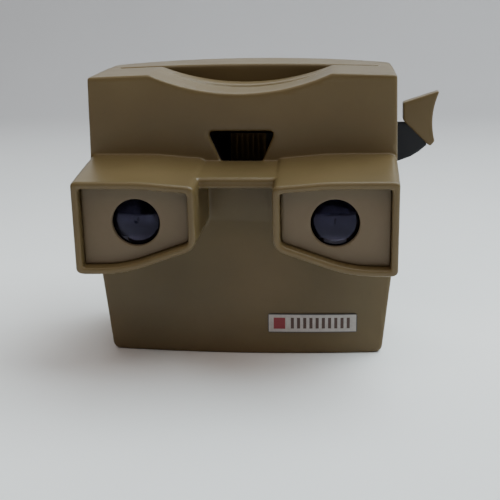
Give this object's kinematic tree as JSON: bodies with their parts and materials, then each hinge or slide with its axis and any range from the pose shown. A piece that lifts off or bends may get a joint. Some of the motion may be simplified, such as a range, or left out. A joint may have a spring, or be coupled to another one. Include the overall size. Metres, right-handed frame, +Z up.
{
  "type": "stereo viewer",
  "caption": "Hand-held stereo viewer with two eyepiece hoods, a reel slot with thumb scoop, a frosted back window and an advance lever.",
  "frame": {"origin": "centre of the flat base, below the centre of the reel's plane", "axes": "+X towards the advance lever, -Y towards the eyes, +Z up"},
  "size_m": [0.1211, 0.0843, 0.099],
  "materials": {
    "shell_tan": "semi-gloss moulded",
    "panel_tan": "satin moulded",
    "lens": "clear",
    "baffle_black": "matt",
    "gate_brown": "matt",
    "screw_steel": "zinc plated",
    "bush_brass": "turned",
    "pin_steel": "polished",
    "spring_steel": "bright",
    "arm_black": "satin",
    "tab_tan": "semi-gloss moulded",
    "diffuser_white": "frosted",
    "label_silver": "satin foil"
  },
  "bodies": {
    "casing": {"front_shell": "shell_tan", "rear_shell": "shell_tan", "left_eyepiece": "panel_tan", "right_eyepiece": "panel_tan", "left_lens": "lens", "right_lens": "lens", "left_lens_ring": "baffle_black", "right_lens_ring": "baffle_black", "left_light_tunnel": "baffle_black", "right_light_tunnel": "baffle_black", "caption_chute": "baffle_black", "front_gate": "baffle_black", "rear_gate": "gate_brown", "gate_screws": "screw_steel", "centre_bush": "bush_brass", "pin_spring": "spring_steel", "lever_clip": "spring_steel", "return_spring": "spring_steel", "diffuser": "diffuser_white", "case_screws": "screw_steel", "label_plate": "label_silver"},
    "lever": {"lever_arm": "arm_black", "lever_tab": "tab_tan", "pawl_pin": "pin_steel", "pawl_spring": "spring_steel"},
    "pawl": {"pawl": "bush_brass"},
    "centre_pin": {"centre_pin": "pin_steel"}
  },
  "joints": [
    {"name": "lever_swing", "type": "hinge", "parent": "casing", "child": "lever", "pos_m": [0, 0.0046, 0.055], "axis": [0, 1, 0], "range_deg": [0, 51.4], "stiffness_Nm_per_rad": 0.03, "springref_deg": -34.38, "deforming": ["return_spring"]},
    {"name": "pawl_tilt", "type": "hinge", "parent": "lever", "child": "pawl", "pos_m": [0.009, 0.0079, 0.0145], "axis": [0, 0, -1], "range_deg": [0, 12], "stiffness_Nm_per_rad": 0.002, "springref_deg": -17.19, "deforming": ["pawl_spring"]},
    {"name": "centre_pin_slide", "type": "slide", "parent": "casing", "child": "centre_pin", "axis": [0, 1, 0], "range_m": [0, 0.0022], "stiffness_N_per_m": 400, "springref_m": -0.001, "deforming": ["pin_spring"]}
  ]
}
